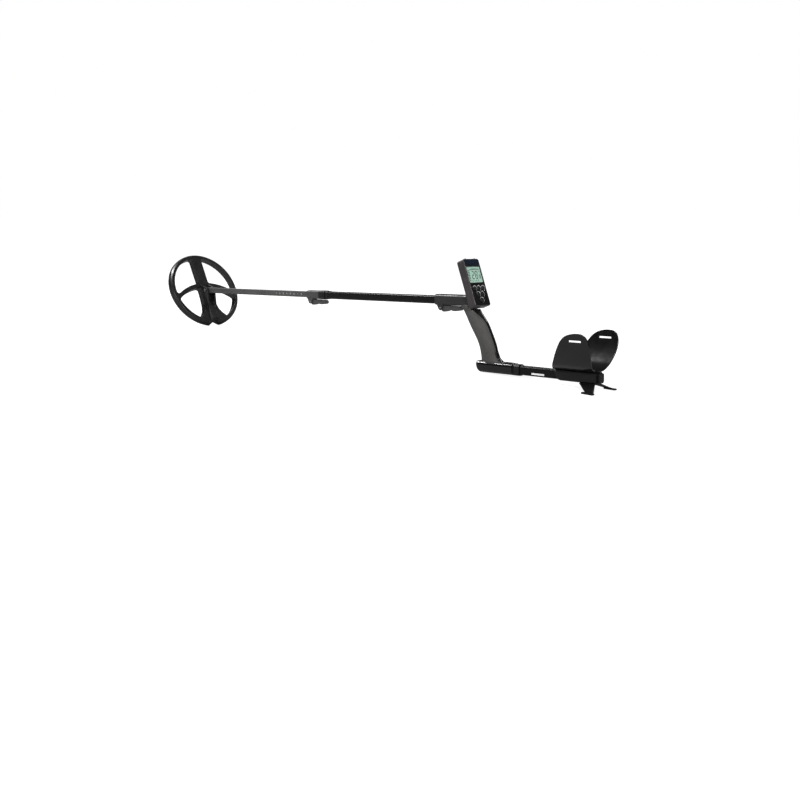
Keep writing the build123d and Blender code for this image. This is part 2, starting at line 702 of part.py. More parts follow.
window_face = Pos(0, window_centre) * RectangleRounded(window_width, window_length, window_corner)
window = extrude(Plane.YZ.offset(-panel_thickness) * window_face, amount=panel_thickness)
panel = remote_block(-panel_thickness, 0, panel_w, panel_l, panel_corner) - window
rings, keys = [], []
key_foot = panel_thickness + key_flange_gap         # top of the flange, below the front
for y, a in key_places:
    at = Pos(0, y, a) * Rot(0, 90, 0)
    panel -= at * Cylinder(key_hole, 8)
    ring_solid = Cylinder(key_ring_radius, key_ring_height) - Cylinder(key_hole, 4)
    rings.append(remote_at * at * Pos(0, 0, key_ring_height / 2) * ring_solid)
    cap_top = Cylinder(key_radius, key_foot + key_height + key_travel)
    cap_top = fillet(cap_top.edges().group_by(Axis.Z)[-1], key_edge)
    flange = Pos(0, 0, -key_foot - key_flange / 2) * Cylinder(key_flange_radius, key_flange)
    keys.append(remote_at * at * (Pos(0, 0, (key_height - key_foot - key_travel) / 2) * cap_top + flange))
pieces["remote_front_case"] = remote_at * front_case
pieces["remote_front_panel"] = remote_at * panel
pieces["display_window"] = remote_at * window
pieces["key_rings"] = Compound(children=rings)
for i, key in enumerate(keys):
    pieces[f"key_{i + 1}"] = key

display_x = -panel_thickness - display_gap
display_face = Pos(0, window_centre) * RectangleRounded(
    window_width - 2 * display_margin, window_length - 2 * display_margin, window_corner)
display = extrude(Plane.YZ.offset(display_x - display_thickness) * display_face, amount=display_thickness)
pieces["display_panel"] = remote_at * display
board_x = display_x - display_thickness - board_gap
board_face = RectangleRounded(inner_w - 2 * board_margin, inner_l - 2 * board_margin, inner_corner)
board = extrude(Plane.YZ.offset(board_x - board_thickness) * board_face, amount=board_thickness)
pieces["remote_circuit_board"] = remote_at * board
battery_face = Pos(0, battery_centre) * RectangleRounded(battery_width, battery_length, 2)
battery = extrude(Plane.YZ.offset(back_x + remote_skin + battery_gap) * battery_face, amount=battery_depth)
pieces["remote_battery"] = remote_at * battery

rear_outer = remote_block(back_x, -remote_split, remote_width, remote_length, remote_corner)
rear_outer = fillet(rear_outer.edges().group_by(Axis.X)[0], remote_back_edge)
rear_inner = remote_block(back_x + remote_skin, -remote_split + 1, inner_w, inner_l, inner_corner)
rear_case = rear_outer - rear_inner
boss_y = inner_w / 2 - remote_boss_inset
boss_a = inner_l / 2 - remote_boss_inset
remote_screws = []
for y in (-boss_y, boss_y):
    for a in (-boss_a, boss_a):
        boss = Plane.YZ.offset(back_x + remote_skin) * Pos(y, a) * Circle(remote_boss_radius)
        rear_case += extrude(boss, amount=board_x - board_thickness - back_x - remote_skin)
        at = Pos(back_x, y, a) * Rot(0, -90, 0)
        rear_case -= at * Cylinder(remote_screw_head + sliver, 2 * remote_screw_sink)
        rear_case -= at * Cylinder(remote_screw_radius, 2 * (remote_screw_length + remote_screw_sink))
        remote_screws.append(remote_at * at * Pos(0, 0, -remote_screw_sink) * screw(
            remote_screw_radius, remote_screw_length, remote_screw_head, remote_screw_head_height))
pieces["remote_rear_case"] = remote_at * rear_case
pieces["remote_screws"] = Compound(children=remote_screws)

arch_z = plate_a + (plate_height - plate_width) / 2
clip_low = -half_length + clip_bottom


def arch(radius):
    """Round-topped outline, open at the bottom of the remote."""
    leg = Pos(0, arch_z - half_length) * Rectangle(2 * radius, 2 * half_length)
    return Pos(0, arch_z) * Circle(radius) + leg


clip_end = Pos(0, clip_low - remote_length / 2) * Rectangle(remote_width, remote_length)
clip_outer = arch(plate_width / 2 + clip_gap + clip_side) - clip_end
clip = on_remote(clip_outer, clip_front, back_x)
clip -= on_remote(arch(plate_width / 2 + clip_gap), plate_front - clip_gap, plate_back + clip_gap)
clip -= on_remote(arch(plate_width / 2 - clip_lip), clip_front - 1, plate_back)
pieces["remote_clip"] = clip

# ---- search coil (drawn flat: X to the heel, hinge axis on the origin, then tilted) -------------------
coil_at = Pos(hinge_x, 0, 0) * Rot(0, coil_tilt, 0)
top_z = -hinge_rise
part_z = top_z - upper_height
bottom_z = part_z - lower_height
centre = Pos(-hinge_offset, 0)


def coil_windows(grow):
    """The four openings between the ring, the spokes and the spine."""
    toe = Pos(-coil_radius, 0) * Rectangle(2 * coil_radius, 2 * toe_spoke_half)
    bow_x = arm_bow_radius - arm_top_u
    bow = Pos(bow_x, 0) * Circle(arm_bow_radius) - Pos(bow_x, 0) * Circle(arm_bow_radius - arm_width)
    neck = (arm_width / 2 - arm_top_u, spine_neck_half)
    edge = [(coil_window_radius - inset, half) for inset, half in spine_half]
    edge = [neck] + [row for row in edge if row[0] > neck[0]] + [(coil_radius, edge[-1][1])]
    heel = make_face(Polyline(*(edge + [(x, -y) for x, y in edge[::-1]]), close=True))
    openings = Circle(coil_window_radius) - toe - bow - heel
    result = []
    for face in openings.faces():
        if face.area < window_least_area:
            continue
        shrunk = offset(Sketch([face]), -window_fillet)
        result.append(offset(shrunk, window_fillet + grow))
    return centre * Sketch(children=result)


def coil_plan(radius, inset):
    """Plan of the coil, drawn in by an even inset."""
    back = coil_radius + inset
    cut = make_face(Polyline((back, notch_half + 0.9 * inset), (back + 20, notch_half + 20),
                             (back + 20, -notch_half - 20), (back, -notch_half - 0.9 * inset),
                             (coil_radius - notch_depth - inset, 0), close=True))
    disc = centre * (Circle(radius - inset) - cut)
    return disc - coil_windows(inset)


upper = Plane.XY.offset(part_z) * extrude(coil_plan(upper_radius, 0), amount=upper_height)
bevel = Pos(-hinge_offset, 0, part_z + upper_height / 2) * Cylinder(upper_radius, upper_height)
bevel = chamfer(bevel.edges().group_by(Axis.Z)[-1], upper_bevel_down, upper_bevel_in)
upper &= bevel
hollow_plan = coil_plan(upper_radius, coil_skin)
upper -= Plane.XY.offset(part_z) * extrude(hollow_plan, amount=upper_height - upper_bevel_down - coil_skin)
inner_plan = coil_plan(upper_radius - upper_bevel_in, coil_skin)
upper -= Plane.XY.offset(part_z) * extrude(inner_plan, amount=upper_height - coil_skin)
ear_tip = [(ear_tip_radius * math.cos(math.radians(a)), ear_tip_radius * math.sin(math.radians(a)))
           for a in range(0, 360, 6)]
ear_face = hull_points(ear_tip + [(-ear_base_toe, top_z - 1), (ear_base_heel, top_z - 1)])
ear = side_plate(side_face(ear_face), ear_inner, ear_inner + ear_thickness)
ear -= rod_y(0, 0, bolt_radius, 0, 40)
upper += ear + mirror(ear, Plane.XZ)
ridge_top = extrude(Plane.XY.offset(top_z) * Pos(ridge_length / 2 + ridge_start, 0)
                    * RectangleRounded(ridge_length, 2 * ridge_half, ridge_corner),
                    amount=ridge_height, taper=ridge_taper)
upper += ridge_top

lower = Plane.XY.offset(bottom_z) * extrude(coil_plan(coil_radius, 0), amount=lower_height)
skid = Pos(-hinge_offset, 0, bottom_z + lower_height / 2) * Cylinder(coil_radius, lower_height)
skid = chamfer(skid.edges().group_by(Axis.Z)[0], lower_bevel)
lower &= skid
lower -= Plane.XY.offset(bottom_z + lower_skin) * extrude(coil_plan(coil_radius - 2 * cover_lip, coil_skin),
                                                        amount=lower_height)
coil_screws = []
for u in coil_screw_u:
    x = -hinge_offset - u
    post = Pos(x, 0, (top_z + bottom_z) / 2) * Cylinder(coil_boss_radius, top_z - bottom_z - 2)
    upper += post & Pos(x, 0, part_z + 50) * Box(20, 20, 100)
    lower += post & Pos(x, 0, part_z - 50) * Box(20, 20, 100)
    seat = Pos(x, 0, bottom_z + coil_screw_sink) * Rot(180, 0, 0)
    coil_screws.append(coil_at * seat * screw(coil_screw_radius, coil_screw_length, coil_screw_head,
                                              coil_screw_sink - 2 * head_room))
    lower -= Pos(x, 0, bottom_z) * Cylinder(coil_screw_head + head_room, 2 * coil_screw_sink)
    hole = Pos(x, 0, bottom_z) * Cylinder(coil_screw_radius, 2 * (coil_screw_length + coil_screw_sink))
    lower -= hole
    upper -= hole
pieces["coil_upper_shell"] = coil_at * upper
pieces["coil_lower_cover"] = coil_at * lower
pieces["coil_screws"] = Compound(children=coil_screws)


def winding(side_sign, z0):
    """D-shaped winding bundle: half the ring closed by a straight run past the middle."""
    def shape(inset):
        disc = Circle(winding_radius - inset)
        reach = 2 * coil_radius
        keep = Rectangle(reach, reach)
        limit = winding_chord - inset
        keep = Pos(heel_flat - inset - reach / 2, side_sign * (limit - reach / 2)) * keep
        return disc & keep
    face = shape(0) - shape(winding_side)
    return Plane.XY.offset(z0) * extrude(centre * face, amount=winding_side)


pieces["transmit_winding"] = coil_at * winding(1, bottom_z + lower_skin + winding_clear)
pieces["receive_winding"] = coil_at * winding(-1, top_z - coil_skin - winding_clear - winding_side)
circuit_z = part_z - circuit_drop
circuit = Pos(-hinge_offset + circuit_u, 0, circuit_z) * Box(*circuit_size, board_thickness)
pieces["coil_circuit_board"] = coil_at * circuit
cell_z = circuit_z + (board_thickness + cell_size[2]) / 2 + sliver
cell = Pos(-hinge_offset + cell_u, 0, cell_z) * Box(*cell_size)
pieces["coil_battery"] = coil_at * fillet(cell.edges().filter_by(Axis.Z), cell_corner)

# ---- hinge hardware ----------------------------------------------------------------------------------
ear_outer = ear_inner + ear_thickness
washers = []
for sign in (-1, 1):
    mid = sign * (ear_inner - washer_thickness / 2)
    washer = rod_y(hinge_x, 0, washer_radius, mid - washer_thickness / 2, mid + washer_thickness / 2)
    washers.append(washer - rod_y(hinge_x, 0, bolt_radius, -30, 30))
pieces["friction_washers"] = Compound(children=washers)
bolt = rod_y(hinge_x, 0, bolt_radius, -ear_outer, ear_outer + nut_thickness)
head = rod_y(hinge_x, 0, bolt_head_radius, -ear_outer - bolt_head_height, -ear_outer)
head = fillet(head.edges().group_by(Axis.Y)[0], bolt_head_edge)
pieces["coil_bolt"] = bolt + head
nut = Plane.XZ.offset(-ear_outer - nut_thickness) * Pos(hinge_x, 0) * RegularPolygon(bolt_radius + nut_rim, 6)
pieces["coil_nut"] = extrude(nut, amount=nut_thickness) - rod_y(hinge_x, 0, bolt_radius, 0, 60)

# ---- set down on the floor: rear feet and coil heel on Z = 0, centred on the origin -------------------
tip = Rot(0, -stand_lean, 0)
floor_z = (tip * pieces["coil_lower_cover"]).bounding_box().min.Z
down = Pos(0, 0, -floor_z) * tip

plate_solid = box(stand_front, stand_rear, -half_channel, half_channel,
                  channel_low - stand_plate, channel_low)
leg_mid = (stand_front + stand_rear) / 2
foot_mid = (foot_front + foot_rear) / 2
foot_at = down * Pos(foot_mid, leg_foot_y, channel_low)
foot_point = foot_at.position
leg_point = (down * Pos((leg_foot_front + leg_foot_rear) / 2, leg_foot_y, channel_low)).position
stand = down * plate_solid
for sign in (-1, 1):
    leg_top_y = sign * (half_channel - leg_top_cut)
    leg_top = down * (Plane.XY.offset(channel_low - 0.6) * Pos(leg_mid, leg_top_y) * Rectangle(
        stand_rear - stand_front, leg_thickness))
    leg_foot = Pos(leg_point.X, sign * (leg_foot_y - 1), foot_thickness / 2) * Rectangle(
        leg_foot_rear - leg_foot_front, leg_thickness)
    foot_face = Pos(foot_point.X, sign * leg_foot_y) * RectangleRounded(
        foot_rear - foot_front, foot_width, foot_corner)
    stand += loft([leg_top, leg_foot]) + extrude(foot_face, amount=foot_thickness)
stand -= box(-2000, 2000, -200, 200, -50, 0)
stand -= down * channel

placed = {name: down * shape for name, shape in pieces.items()}
placed["stand"] = stand
boxes = [shape.bounding_box() for shape in placed.values()]
centre_x = (min(b.min.X for b in boxes) + max(b.max.X for b in boxes)) / 2
for name, shape in placed.items():
    moved = Pos(-centre_x, 0, 0) * shape
    solids = moved.solids()
    part = solids[0] if len(solids) == 1 else Compound(children=list(solids))
    export_step(part, f"parts/{name}.step")
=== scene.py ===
import json
import math

import bmesh
import bpy
from mathutils import Matrix, Vector


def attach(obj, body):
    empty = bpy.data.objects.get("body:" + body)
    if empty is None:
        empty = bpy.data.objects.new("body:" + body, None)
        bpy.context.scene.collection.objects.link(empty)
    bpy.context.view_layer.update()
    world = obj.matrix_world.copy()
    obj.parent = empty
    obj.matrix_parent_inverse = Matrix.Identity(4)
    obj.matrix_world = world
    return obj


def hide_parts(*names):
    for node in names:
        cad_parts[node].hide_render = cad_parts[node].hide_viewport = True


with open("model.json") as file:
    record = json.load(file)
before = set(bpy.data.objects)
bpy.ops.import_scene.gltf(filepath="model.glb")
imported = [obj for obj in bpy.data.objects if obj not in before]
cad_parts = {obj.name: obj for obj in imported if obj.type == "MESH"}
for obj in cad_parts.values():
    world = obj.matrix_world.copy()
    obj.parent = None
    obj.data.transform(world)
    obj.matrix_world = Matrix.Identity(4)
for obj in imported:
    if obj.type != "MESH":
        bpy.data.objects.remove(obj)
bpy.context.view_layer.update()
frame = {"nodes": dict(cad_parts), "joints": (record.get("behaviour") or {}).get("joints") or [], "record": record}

MM = 0.001
joint = {j["name"]: j for j in frame["joints"]}


# ---- frames that the CAD model was drawn in, rebuilt from the record's joints ---------------------
def matrix(x_axis, y_axis, z_axis, origin):
    m = Matrix((x_axis, y_axis, z_axis)).transposed().to_4x4()
    m.translation = origin
    return m


HINGE_X = -874.0 * MM               # the coil's hinge along the stem
REMOTE_BACK = Vector((94.8, 0, 32.96)) * MM
REMOTE_DEPTH = 20.0 * MM
TUBE_WIDTH = 16.0 * MM
TUBE_WALL = 1.5 * MM
SLIDE_GAP = 0.08 * MM
along = Vector(joint["tube_slide"]["axis"]).normalized()
across = Vector((0, 1, 0))
upward = along.cross(across)
hinge = Vector(joint["coil_tilt"]["pos_m"])
STEM = matrix(along, across, upward, hinge - along * HINGE_X)
face_up = Vector(joint["remote_slide"]["axis"]).normalized()
face_out = across.cross(face_up)
REMOTE = matrix(face_out, across, face_up, STEM @ REMOTE_BACK + face_out * REMOTE_DEPTH)
TILT = math.radians(64.0)
toe = -(along * math.cos(TILT) - upward * math.sin(TILT))
COIL = matrix(-toe, across, (-toe).cross(across), hinge)


# ---- node shorthand -------------------------------------------------------------------------------
class Tree:
    """A material's node tree with short calls: every call returns an output socket."""

    def __init__(self, name):
        self.material = bpy.data.materials.new(name)
        self.material.use_nodes = True
        self.tree = self.material.node_tree
        self.shader = self.tree.nodes["Principled BSDF"]
        coords = self.tree.nodes.new("ShaderNodeTexCoord")
        self.place = coords.outputs["Object"]

    def put(self, socket, value):
        if isinstance(value, bpy.types.NodeSocket):
            self.tree.links.new(value, socket)
        elif value is not None:
            socket.default_value = value

    def node(self, kind, out=0, props=None, **inputs):
        node = self.tree.nodes.new("ShaderNode" + kind)
        for key, value in (props or {}).items():
            setattr(node, key, value)
        for key, value in inputs.items():
            socket = node.inputs[int(key[1:])] if key[0] == "i" and key[1:].isdigit() else node.inputs[
                key.replace("_", " ")]
            self.put(socket, value)
        return node.outputs[out]

    def math(self, operation, a, b=0.5, c=0.5, clamp=False):
        return self.node("Math", props={"operation": operation, "use_clamp": clamp}, i0=a, i1=b, i2=c)

    def local(self, frame_matrix, squeeze=(1, 1, 1)):
        """Coordinates in one of the drawing frames, in metres, then scaled per axis."""
        inverse = frame_matrix.inverted()
        turn = inverse.to_euler("XYZ")
        moved = self.node("Mapping", Vector=self.place, Location=inverse.translation, Rotation=turn)
        if squeeze == (1, 1, 1):
            return moved
        return self.node("VectorMath", props={"operation": "MULTIPLY"}, i0=moved, i1=squeeze)

    def noise(self, scale, detail=3.0, vector=None):
        return self.node("TexNoise", Vector=vector or self.place, Scale=scale, Detail=detail)

    def cells(self, scale, vector=None, feature="F1"):
        return self.node("TexVoronoi", props={"feature": feature}, Vector=vector or self.place,
                         Scale=scale)

    def spread(self, value, low, high, to_low=0.0, to_high=1.0):
        return self.node("MapRange", Value=value, From_Min=low, From_Max=high, To_Min=to_low,
                         To_Max=to_high)

    def mix(self, factor, a, b):
        a, b = [(*v, 1.0) if isinstance(v, tuple) and len(v) == 3 else v for v in (a, b)]
        node = self.tree.nodes.new("ShaderNodeMix")
        node.data_type = "RGBA"
        for socket, value in ((node.inputs[0], factor), (node.inputs[6], a), (node.inputs[7], b)):
            self.put(socket, value)
        return node.outputs[2]

    def edges(self, radius):
        """0 on flats to 1 on outside and inside edges, from the difference to a rounded normal."""
        soft = self.node("Bevel", props={"samples": 4}, Radius=radius)
        true = self.node("NewGeometry", out=1)
        dot = self.node("VectorMath", out=1, props={"operation": "DOT_PRODUCT"}, i0=soft, i1=true)
        return self.spread(dot, 0.995, 0.80), soft


def grey(value, warm=0.0):
    return (value * (1 + warm), value, value * (1 - warm))


def moulded(name, color, rough, grain=0.00045, depth=0.00004, mottle=0.12, wear_and_highlight=1.6, metal=0.0,
            coat=0.0, specular=0.5, pits=0.0, radius=0.0006, streak=None, dust=0.0, speckle=0.0):
    """Moulded or finished surface: uneven colour, grain in the relief, and softened edges painted lighter, partly
    as rubbed wear and partly as a painted highlight.

    grain, depth and radius are in metres. The edge factor is how much lighter the edges are: rubbed wear, and
    where it is large, as on the coil, a painted highlight. streak is a frame, a scale per axis and an amount.
    """
    t = Tree(name)
    cloud = t.noise(22.0, 4.0)
    fine = t.noise(1.0 / grain, 2.0)
    tint = t.spread(cloud, 0.32, 0.70)
    dark = tuple(c * (1 - mottle) for c in color)
    light = tuple(min(1.0, c * (1 + mottle)) for c in color)
    base = t.mix(tint, dark, light)
    speck = t.spread(fine, 0.45, 0.72)
    base = t.mix(t.math("MULTIPLY", speck, 0.35), base, tuple(min(1.0, c * 1.5) for c in color))
    if speckle:
        coarse = t.spread(t.noise(520.0, 2.0), 0.38, 0.66)
        base = t.mix(t.math("MULTIPLY", coarse, speckle), base, tuple(min(1.0, c * 1.55) for c in color))
    # Edges made lighter: rubbed wear, and where the edge factor is large, a painted highlight standing in for
    # light caught on the edges.
    edge_mask, soft = t.edges(radius)
    rub_and_highlight = t.math("MULTIPLY", edge_mask, t.spread(t.noise(160.0, 3.0), 0.35, 0.62))
    base = t.mix(t.math("MULTIPLY", rub_and_highlight, 0.7), base, tuple(min(1.0, c * wear_and_highlight) for c in color))
    height = fine
    if pits:
        pit = t.cells(1.0 / (grain * 2.2))
        height = t.math("MULTIPLY_ADD", pit, pits, fine)
    if streak:
        where, squeeze, amount = streak
        lines = t.noise(1.0, 2.0, t.local(where, squeeze))
        base = t.mix(t.math("MULTIPLY", t.spread(lines, 0.4, 0.7), amount), base,
                     tuple(min(1.0, c * 1.8) for c in color))
        height = t.math("ADD", height, t.math("MULTIPLY", lines, 0.6))
    if dust:
        upness = t.node("SeparateXYZ", out=2, Vector=t.node("NewGeometry", out=1))
        settle = t.math("MULTIPLY", t.spread(upness, 0.35, 1.0), t.spread(t.noise(60.0, 5.0), 0.40, 0.75))
        base = t.mix(t.math("MULTIPLY", settle, dust), base, (0.30, 0.28, 0.25))
    bump = t.node("Bump", Strength=1.0, Distance=depth, Height=height, Normal=soft)
    t.put(t.shader.inputs["Base Color"], base)
    t.put(t.shader.inputs["Normal"], bump)
    uneven = t.spread(t.noise(75.0, 4.0), 0.3, 0.7, rough * 0.86, rough * 1.14)
    t.put(t.shader.inputs["Roughness"], uneven)
    t.shader.inputs["Metallic"].default_value = metal
    t.shader.inputs["Coat Weight"].default_value = coat
    t.shader.inputs["Coat Roughness"].default_value = 0.12
    t.shader.inputs["Specular IOR Level"].default_value = specular
    return t


# ---- materials ------------------------------------------------------------------------------------
ALONG_TUBE = (STEM, (12.0, 1500.0, 1500.0))
FINISHES = {
    "grey_plastic": dict(color=grey(0.050), rough=0.40, grain=0.0005, depth=0.00003, wear_and_highlight=1.5),
    "black_plastic": dict(color=grey(0.005), rough=0.42, grain=0.0005, depth=0.00004, wear_and_highlight=2.2,
        specular=0.35),
    "gloss_black": dict(color=grey(0.003), rough=0.22, grain=0.0012, depth=0.000006, wear_and_highlight=1.2,
        coat=0.25, specular=0.4, dust=0.01),
    "tube_black": dict(color=grey(0.003), rough=0.30, grain=0.0006, depth=0.000008, wear_and_highlight=1.1,
        specular=0.22, streak=(*ALONG_TUBE, 0.2)),
    "stem_grey": dict(color=grey(0.056), rough=0.36, grain=0.0006, depth=0.00001, wear_and_highlight=1.2, coat=0.1,
        streak=(*ALONG_TUBE, 0.35)),
    "soft_grip": dict(color=grey(0.050, 0.03), rough=0.56, grain=0.0006, depth=0.00028, mottle=0.18,
        pits=1.2, wear_and_highlight=1.5, specular=0.35, radius=0.0008, speckle=0.8),
    "sleeve_grey": dict(color=grey(0.020), rough=0.38, grain=0.0005, depth=0.00003, wear_and_highlight=2.4,
        specular=0.4, streak=(*ALONG_TUBE, 0.2)),
    # The coil's strong edge lightening is mostly a painted highlight on its rims and edges, with a little rubbed
    # wear.
    "coil_plastic": dict(color=grey(0.006), rough=0.36, grain=0.0008, depth=0.00003, mottle=0.3,
        pits=0.5, wear_and_highlight=9.0, radius=0.0020, dust=0.01, speckle=0.8, specular=0.45),
    "coil_cover": dict(color=grey(0.007), rough=0.42, grain=0.0007, depth=0.00003, mottle=0.2, wear_and_highlight=7.0,
        radius=0.0016),
    "cuff_plastic": dict(color=grey(0.004), rough=0.24, grain=0.0006, depth=0.000012, wear_and_highlight=3.0,
        radius=0.0011, dust=0.006),
    "silver": dict(color=grey(0.42), rough=0.34, grain=0.0004, depth=0.00001, wear_and_highlight=1.2, metal=0.8),
    "remote_case": dict(color=(0.042, 0.037, 0.040), rough=0.34, grain=0.0004, depth=0.00003, metal=0.3,
        wear_and_highlight=3.0, streak=(REMOTE, (700.0, 700.0, 30.0), 0.5), speckle=0.4),
    "key_rubber": dict(color=grey(0.008), rough=0.42, grain=0.0004, depth=0.00002, wear_and_highlight=2.0),
    "washer_rubber": dict(color=grey(0.010), rough=0.7, grain=0.0004, depth=0.00005, wear_and_highlight=2.0),
    "chrome": dict(color=grey(0.72), rough=0.10, grain=0.0008, depth=0.000003, mottle=0.03, wear_and_highlight=1.1,
        metal=1.0, radius=0.0002),
    "steel": dict(color=grey(0.42), rough=0.30, grain=0.0004, depth=0.00001, metal=1.0, wear_and_highlight=1.3,
        radius=0.0003),
    "white": dict(color=grey(0.78), rough=0.35, grain=0.0005, depth=0.00001, mottle=0.04, wear_and_highlight=1.1),
    "cell": dict(color=(0.10, 0.12, 0.16), rough=0.3, grain=0.0008, depth=0.00002, coat=0.3),
    # Bright, half-metallic silver for the painted highlights around the keys.
    "glint_silver": dict(color=grey(0.80), rough=0.28, grain=0.0008, depth=0.000003, mottle=0.03,
        wear_and_highlight=1.1, metal=0.55, radius=0.0002),
}
looks = {name: moulded(name, **finish).material for name, finish in FINISHES.items()}


def copper_look():
    t = Tree("copper")
    strand = t.node("TexWave", props={"wave_type": "RINGS", "rings_direction": "Z"},
                    Vector=t.local(COIL), Scale=420.0, Distortion=0.6, Detail=2.0)
    tint = t.noise(300.0, 3.0)
    t.put(t.shader.inputs["Base Color"], t.mix(tint, (0.28, 0.09, 0.03), (0.50, 0.20, 0.07)))
    t.put(t.shader.inputs["Roughness"], t.spread(tint, 0.3, 0.7, 0.22, 0.38))
    t.shader.inputs["Metallic"].default_value = 0.8
    t.put(t.shader.inputs["Normal"], t.node("Bump", Strength=1.0, Distance=0.0001, Height=strand))
    return t.material


def board_look():
    t = Tree("board")
    tracks = t.cells(420.0, feature="DISTANCE_TO_EDGE")
    copper = t.spread(tracks, 0.03, 0.05)
    pads = t.spread(t.cells(700.0), 0.16, 0.13)
    base = t.mix(copper, (0.03, 0.16, 0.07), (0.012, 0.07, 0.03))
    base = t.mix(pads, base, (0.55, 0.52, 0.45))
    t.put(t.shader.inputs["Base Color"], base)
    t.put(t.shader.inputs["Roughness"], t.spread(t.noise(200.0), 0.3, 0.7, 0.25, 0.4))
    t.put(t.shader.inputs["Normal"], t.node("Bump", Strength=1.0, Distance=0.00004, Height=pads))
    return t.material


def panel_look():
    """Glossy black front with a painted blue sheen, a painted reflection, towards its top over the display."""
    t = moulded("front_panel", grey(0.008), 0.09, 0.0015, 0.000003, mottle=0.05, wear_and_highlight=1.6, coat=0.6)
    height = t.node("SeparateXYZ", out=2, Vector=t.local(REMOTE))
    # The top of the front is tinted blue: a painted reflection, not the panel's own colour.
    top = t.spread(height, 0.030, 0.052)
    old = t.shader.inputs["Base Color"].links[0].from_socket
    t.put(t.shader.inputs["Base Color"], t.mix(t.math("MULTIPLY", top, 0.75, clamp=True), old,
                                               (0.010, 0.022, 0.050)))
    return t.material


def display_look():
    t = Tree("display")
    place = t.local(REMOTE)
    cloud = t.noise(45.0, 2.0, place)
    base = t.mix(t.spread(cloud, 0.3, 0.7), (0.34, 0.52, 0.42), (0.44, 0.62, 0.52))
    rows = t.node("TexWave", props={"bands_direction": "Z"}, Vector=place, Scale=900.0)
    base = t.mix(t.math("MULTIPLY", rows, 0.10), base, (0.24, 0.40, 0.32))
    t.put(t.shader.inputs["Base Color"], base)
    # The display's own colour is also emitted faintly: a painted glow that lifts its brightness.
    t.put(t.shader.inputs["Emission Color"], base)
    t.shader.inputs["Emission Strength"].default_value = 0.28
    t.put(t.shader.inputs["Roughness"], t.spread(cloud, 0.3, 0.7, 0.28, 0.36))
    t.put(t.shader.inputs["Normal"], t.node("Bump", Strength=0.4, Distance=0.00002, Height=rows))
    return t.material


def glass_look():
    t = Tree("window_glass")
    smear = t.noise(60.0, 3.0)
    t.put(t.shader.inputs["Base Color"], t.mix(smear, (0.55, 0.78, 0.70), (0.66, 0.84, 0.78)))
    t.put(t.shader.inputs["Roughness"], t.spread(smear, 0.3, 0.75, 0.03, 0.09))
    t.shader.inputs["Alpha"].default_value = 0.10
    t.put(t.shader.inputs["Normal"], t.node("Bump", Strength=0.3, Distance=0.00001, Height=smear))
    t.material.blend_method = "BLEND"
    return t.material


def ink_look(name, color):
    t = Tree(name)
    patch = t.noise(900.0, 3.0)
    t.put(t.shader.inputs["Base Color"], t.mix(patch, tuple(c * 0.8 for c in color), color))
    t.put(t.shader.inputs["Roughness"], t.spread(patch, 0.3, 0.7, 0.35, 0.5))
    t.put(t.shader.inputs["Normal"], t.node("Bump", Strength=0.5, Distance=0.00001, Height=patch))
    return t.material


looks["copper"] = copper_look()
looks["board"] = board_look()
looks["display"] = display_look()
looks["glass"] = glass_look()
front_panel = panel_look()
ink_dark = ink_look("display_ink", (0.012, 0.06, 0.045))
ink_pale = ink_look("pale_ink", (0.66, 0.66, 0.64))

slots = {s["node"]: s["material_slot"] for s in frame["record"]["subparts"]}
own = {"remote_front_panel": front_panel, "handle_sleeve": looks["sleeve_grey"],
       "sleeve_collar": looks["sleeve_grey"]}
for name, node in frame["nodes"].items():
    node.data.materials.clear()
    node.data.materials.append(own.get(name, looks[slots[name]]))


# ---- mesh helpers ---------------------------------------------------------------------------------
def add_piece(name, mesh, material, body):
    piece = bpy.data.objects.new(name, mesh)
    bpy.context.scene.collection.objects.link(piece)
    mesh.materials.append(material)
    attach(piece, body)
    return piece


def thin_shapes(name, outlines, where, base, height):
    """Flat outlines (Y, height) in a frame, raised from base along its X."""
    bm = bmesh.new()
    for outline in outlines:
        low = [bm.verts.new(where @ Vector((base, y, z))) for y, z in outline]
        top = [bm.verts.new(where @ Vector((base + height, y, z))) for y, z in outline]
        count = len(outline)
        bm.faces.new(top)
        bm.faces.new(low[::-1])
        for i in range(count):
            j = (i + 1) % count
            bm.faces.new((low[i], low[j], top[j], top[i]))
    bmesh.ops.recalc_face_normals(bm, faces=bm.faces)
    mesh = bpy.data.meshes.new(name)
    bm.to_mesh(mesh)
    bm.free()
    return mesh


def bar(y0, z0, y1, z1):
    return [(y0 * MM, z0 * MM), (y1 * MM, z0 * MM), (y1 * MM, z1 * MM), (y0 * MM, z1 * MM)]


SEGMENTS = {"0": "abcdef", "1": "bc", "2": "abged", "3": "abgcd", "4": "fgbc", "5": "afgcd",
            "6": "afgedc", "7": "abc", "8": "abcdefg", "9": "abcdfg"}


def digit(char, y, z, width, height, line):
    """Seven-segment digit with its lower left corner at (y, z), leaning a little."""
    half = height / 2
    gap = line * 0.12
    spots = {"a": (0, height, width, height, "h"), "g": (0, half, width, half, "h"),
             "d": (0, 0, width, 0, "h"), "f": (0, half, 0, height, "v"),
             "b": (width, half, width, height, "v"), "e": (0, 0, 0, half, "v"),
             "c": (width, 0, width, half, "v")}
    shapes = []
    for key in SEGMENTS[char]:
        u0, v0, u1, v1, way = spots[key]
        h = line / 2
        if way == "h":
            pts = [(u0 + gap, v0), (u0 + gap + h, v0 - h), (u1 - gap - h, v0 - h), (u1 - gap, v0),
                   (u1 - gap - h, v0 + h), (u0 + gap + h, v0 + h)]
        else:
            pts = [(u0, v0 + gap), (u0 + h, v0 + gap + h), (u0 + h, v1 - gap - h), (u0, v1 - gap),
                   (u0 - h, v1 - gap - h), (u0 - h, v0 + gap + h)]
        shapes.append([((y + u + 0.10 * v) * MM, (z + v) * MM) for u, v in pts])
    return shapes


